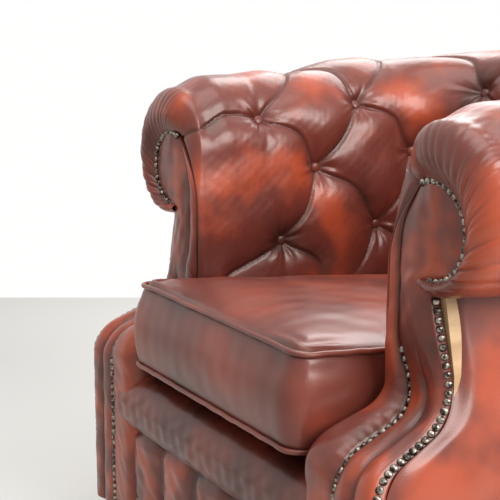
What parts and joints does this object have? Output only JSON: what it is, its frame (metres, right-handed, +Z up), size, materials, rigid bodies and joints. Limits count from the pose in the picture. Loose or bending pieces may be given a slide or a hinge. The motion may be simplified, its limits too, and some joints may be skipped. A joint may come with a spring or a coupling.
{
  "type": "upholstered armchair",
  "caption": "Deep-buttoned leather armchair with rolled arms and back at nearly one height, scrolled arm fronts, nail trim, a loose piped seat cushion and turned feet.",
  "frame": {"origin": "on the floor, under the middle of the chair's bounding box", "axes": "+X towards the sitter's left, -Y towards the front of the seat, +Z up"},
  "size_m": [1.02, 0.9083, 0.8991],
  "materials": {
    "hide": "hand-rubbed, waxed",
    "stuffing": "matte",
    "hessian": "woven",
    "dust_cloth": "non-woven",
    "timber": "planed",
    "foot_wood": "stained and polished",
    "nail_metal": "antiqued",
    "spring_steel": "oiled",
    "plastic": "matte"
  },
  "bodies": {
    "chair": {"arm_border_left": "hide", "arm_border_right": "hide", "arm_facing_left": "hide", "arm_facing_right": "hide", "arm_post_left": "timber", "arm_post_right": "timber", "arm_stump_left": "timber", "arm_stump_right": "timber", "arm_top_rail_left": "timber", "arm_top_rail_right": "timber", "back_post_left": "timber", "back_post_right": "timber", "back_rail": "timber", "back_top_rail": "timber", "corner_blocks": "timber", "dust_cover": "dust_cloth", "foot_bolts": "spring_steel", "foot_glides": "plastic", "front_border": "hide", "front_buttons": "hide", "front_foot_left": "foot_wood", "front_foot_right": "foot_wood", "front_lip": "hide", "front_rail": "timber", "inside_arm_left": "hide", "inside_arm_right": "hide", "inside_back": "hide", "inside_buttons": "hide", "inside_corner_left": "hide", "inside_corner_right": "hide", "nails_back": "nail_metal", "nails_inner_left": "nail_metal", "nails_inner_right": "nail_metal", "nails_outer_left": "nail_metal", "nails_outer_right": "nail_metal", "outside_arm_left": "hide", "outside_arm_right": "hide", "outside_back": "hide", "outside_corner_left": "hide", "outside_corner_right": "hide", "rear_corner_rail_left": "timber", "rear_corner_rail_right": "timber", "rear_foot_left": "foot_wood", "rear_foot_right": "foot_wood", "seat_back_rail": "timber", "seat_brace": "timber", "seat_deck": "stuffing", "seat_hessian": "hessian", "seat_springs": "spring_steel", "side_rail_left": "timber", "side_rail_right": "timber", "spring_clips": "spring_steel", "top_corner_rail_left": "timber", "top_corner_rail_right": "timber"},
    "cushion": {"cushion_cover": "hide", "cushion_core": "stuffing", "piping_bottom": "hide", "piping_top": "hide", "cushion_zip": "plastic"}
  },
  "joints": [
    {"name": "cushion_lift", "type": "slide", "parent": "chair", "child": "cushion", "axis": [0, 0, 1], "range_m": [0, 0.45]}
  ]
}
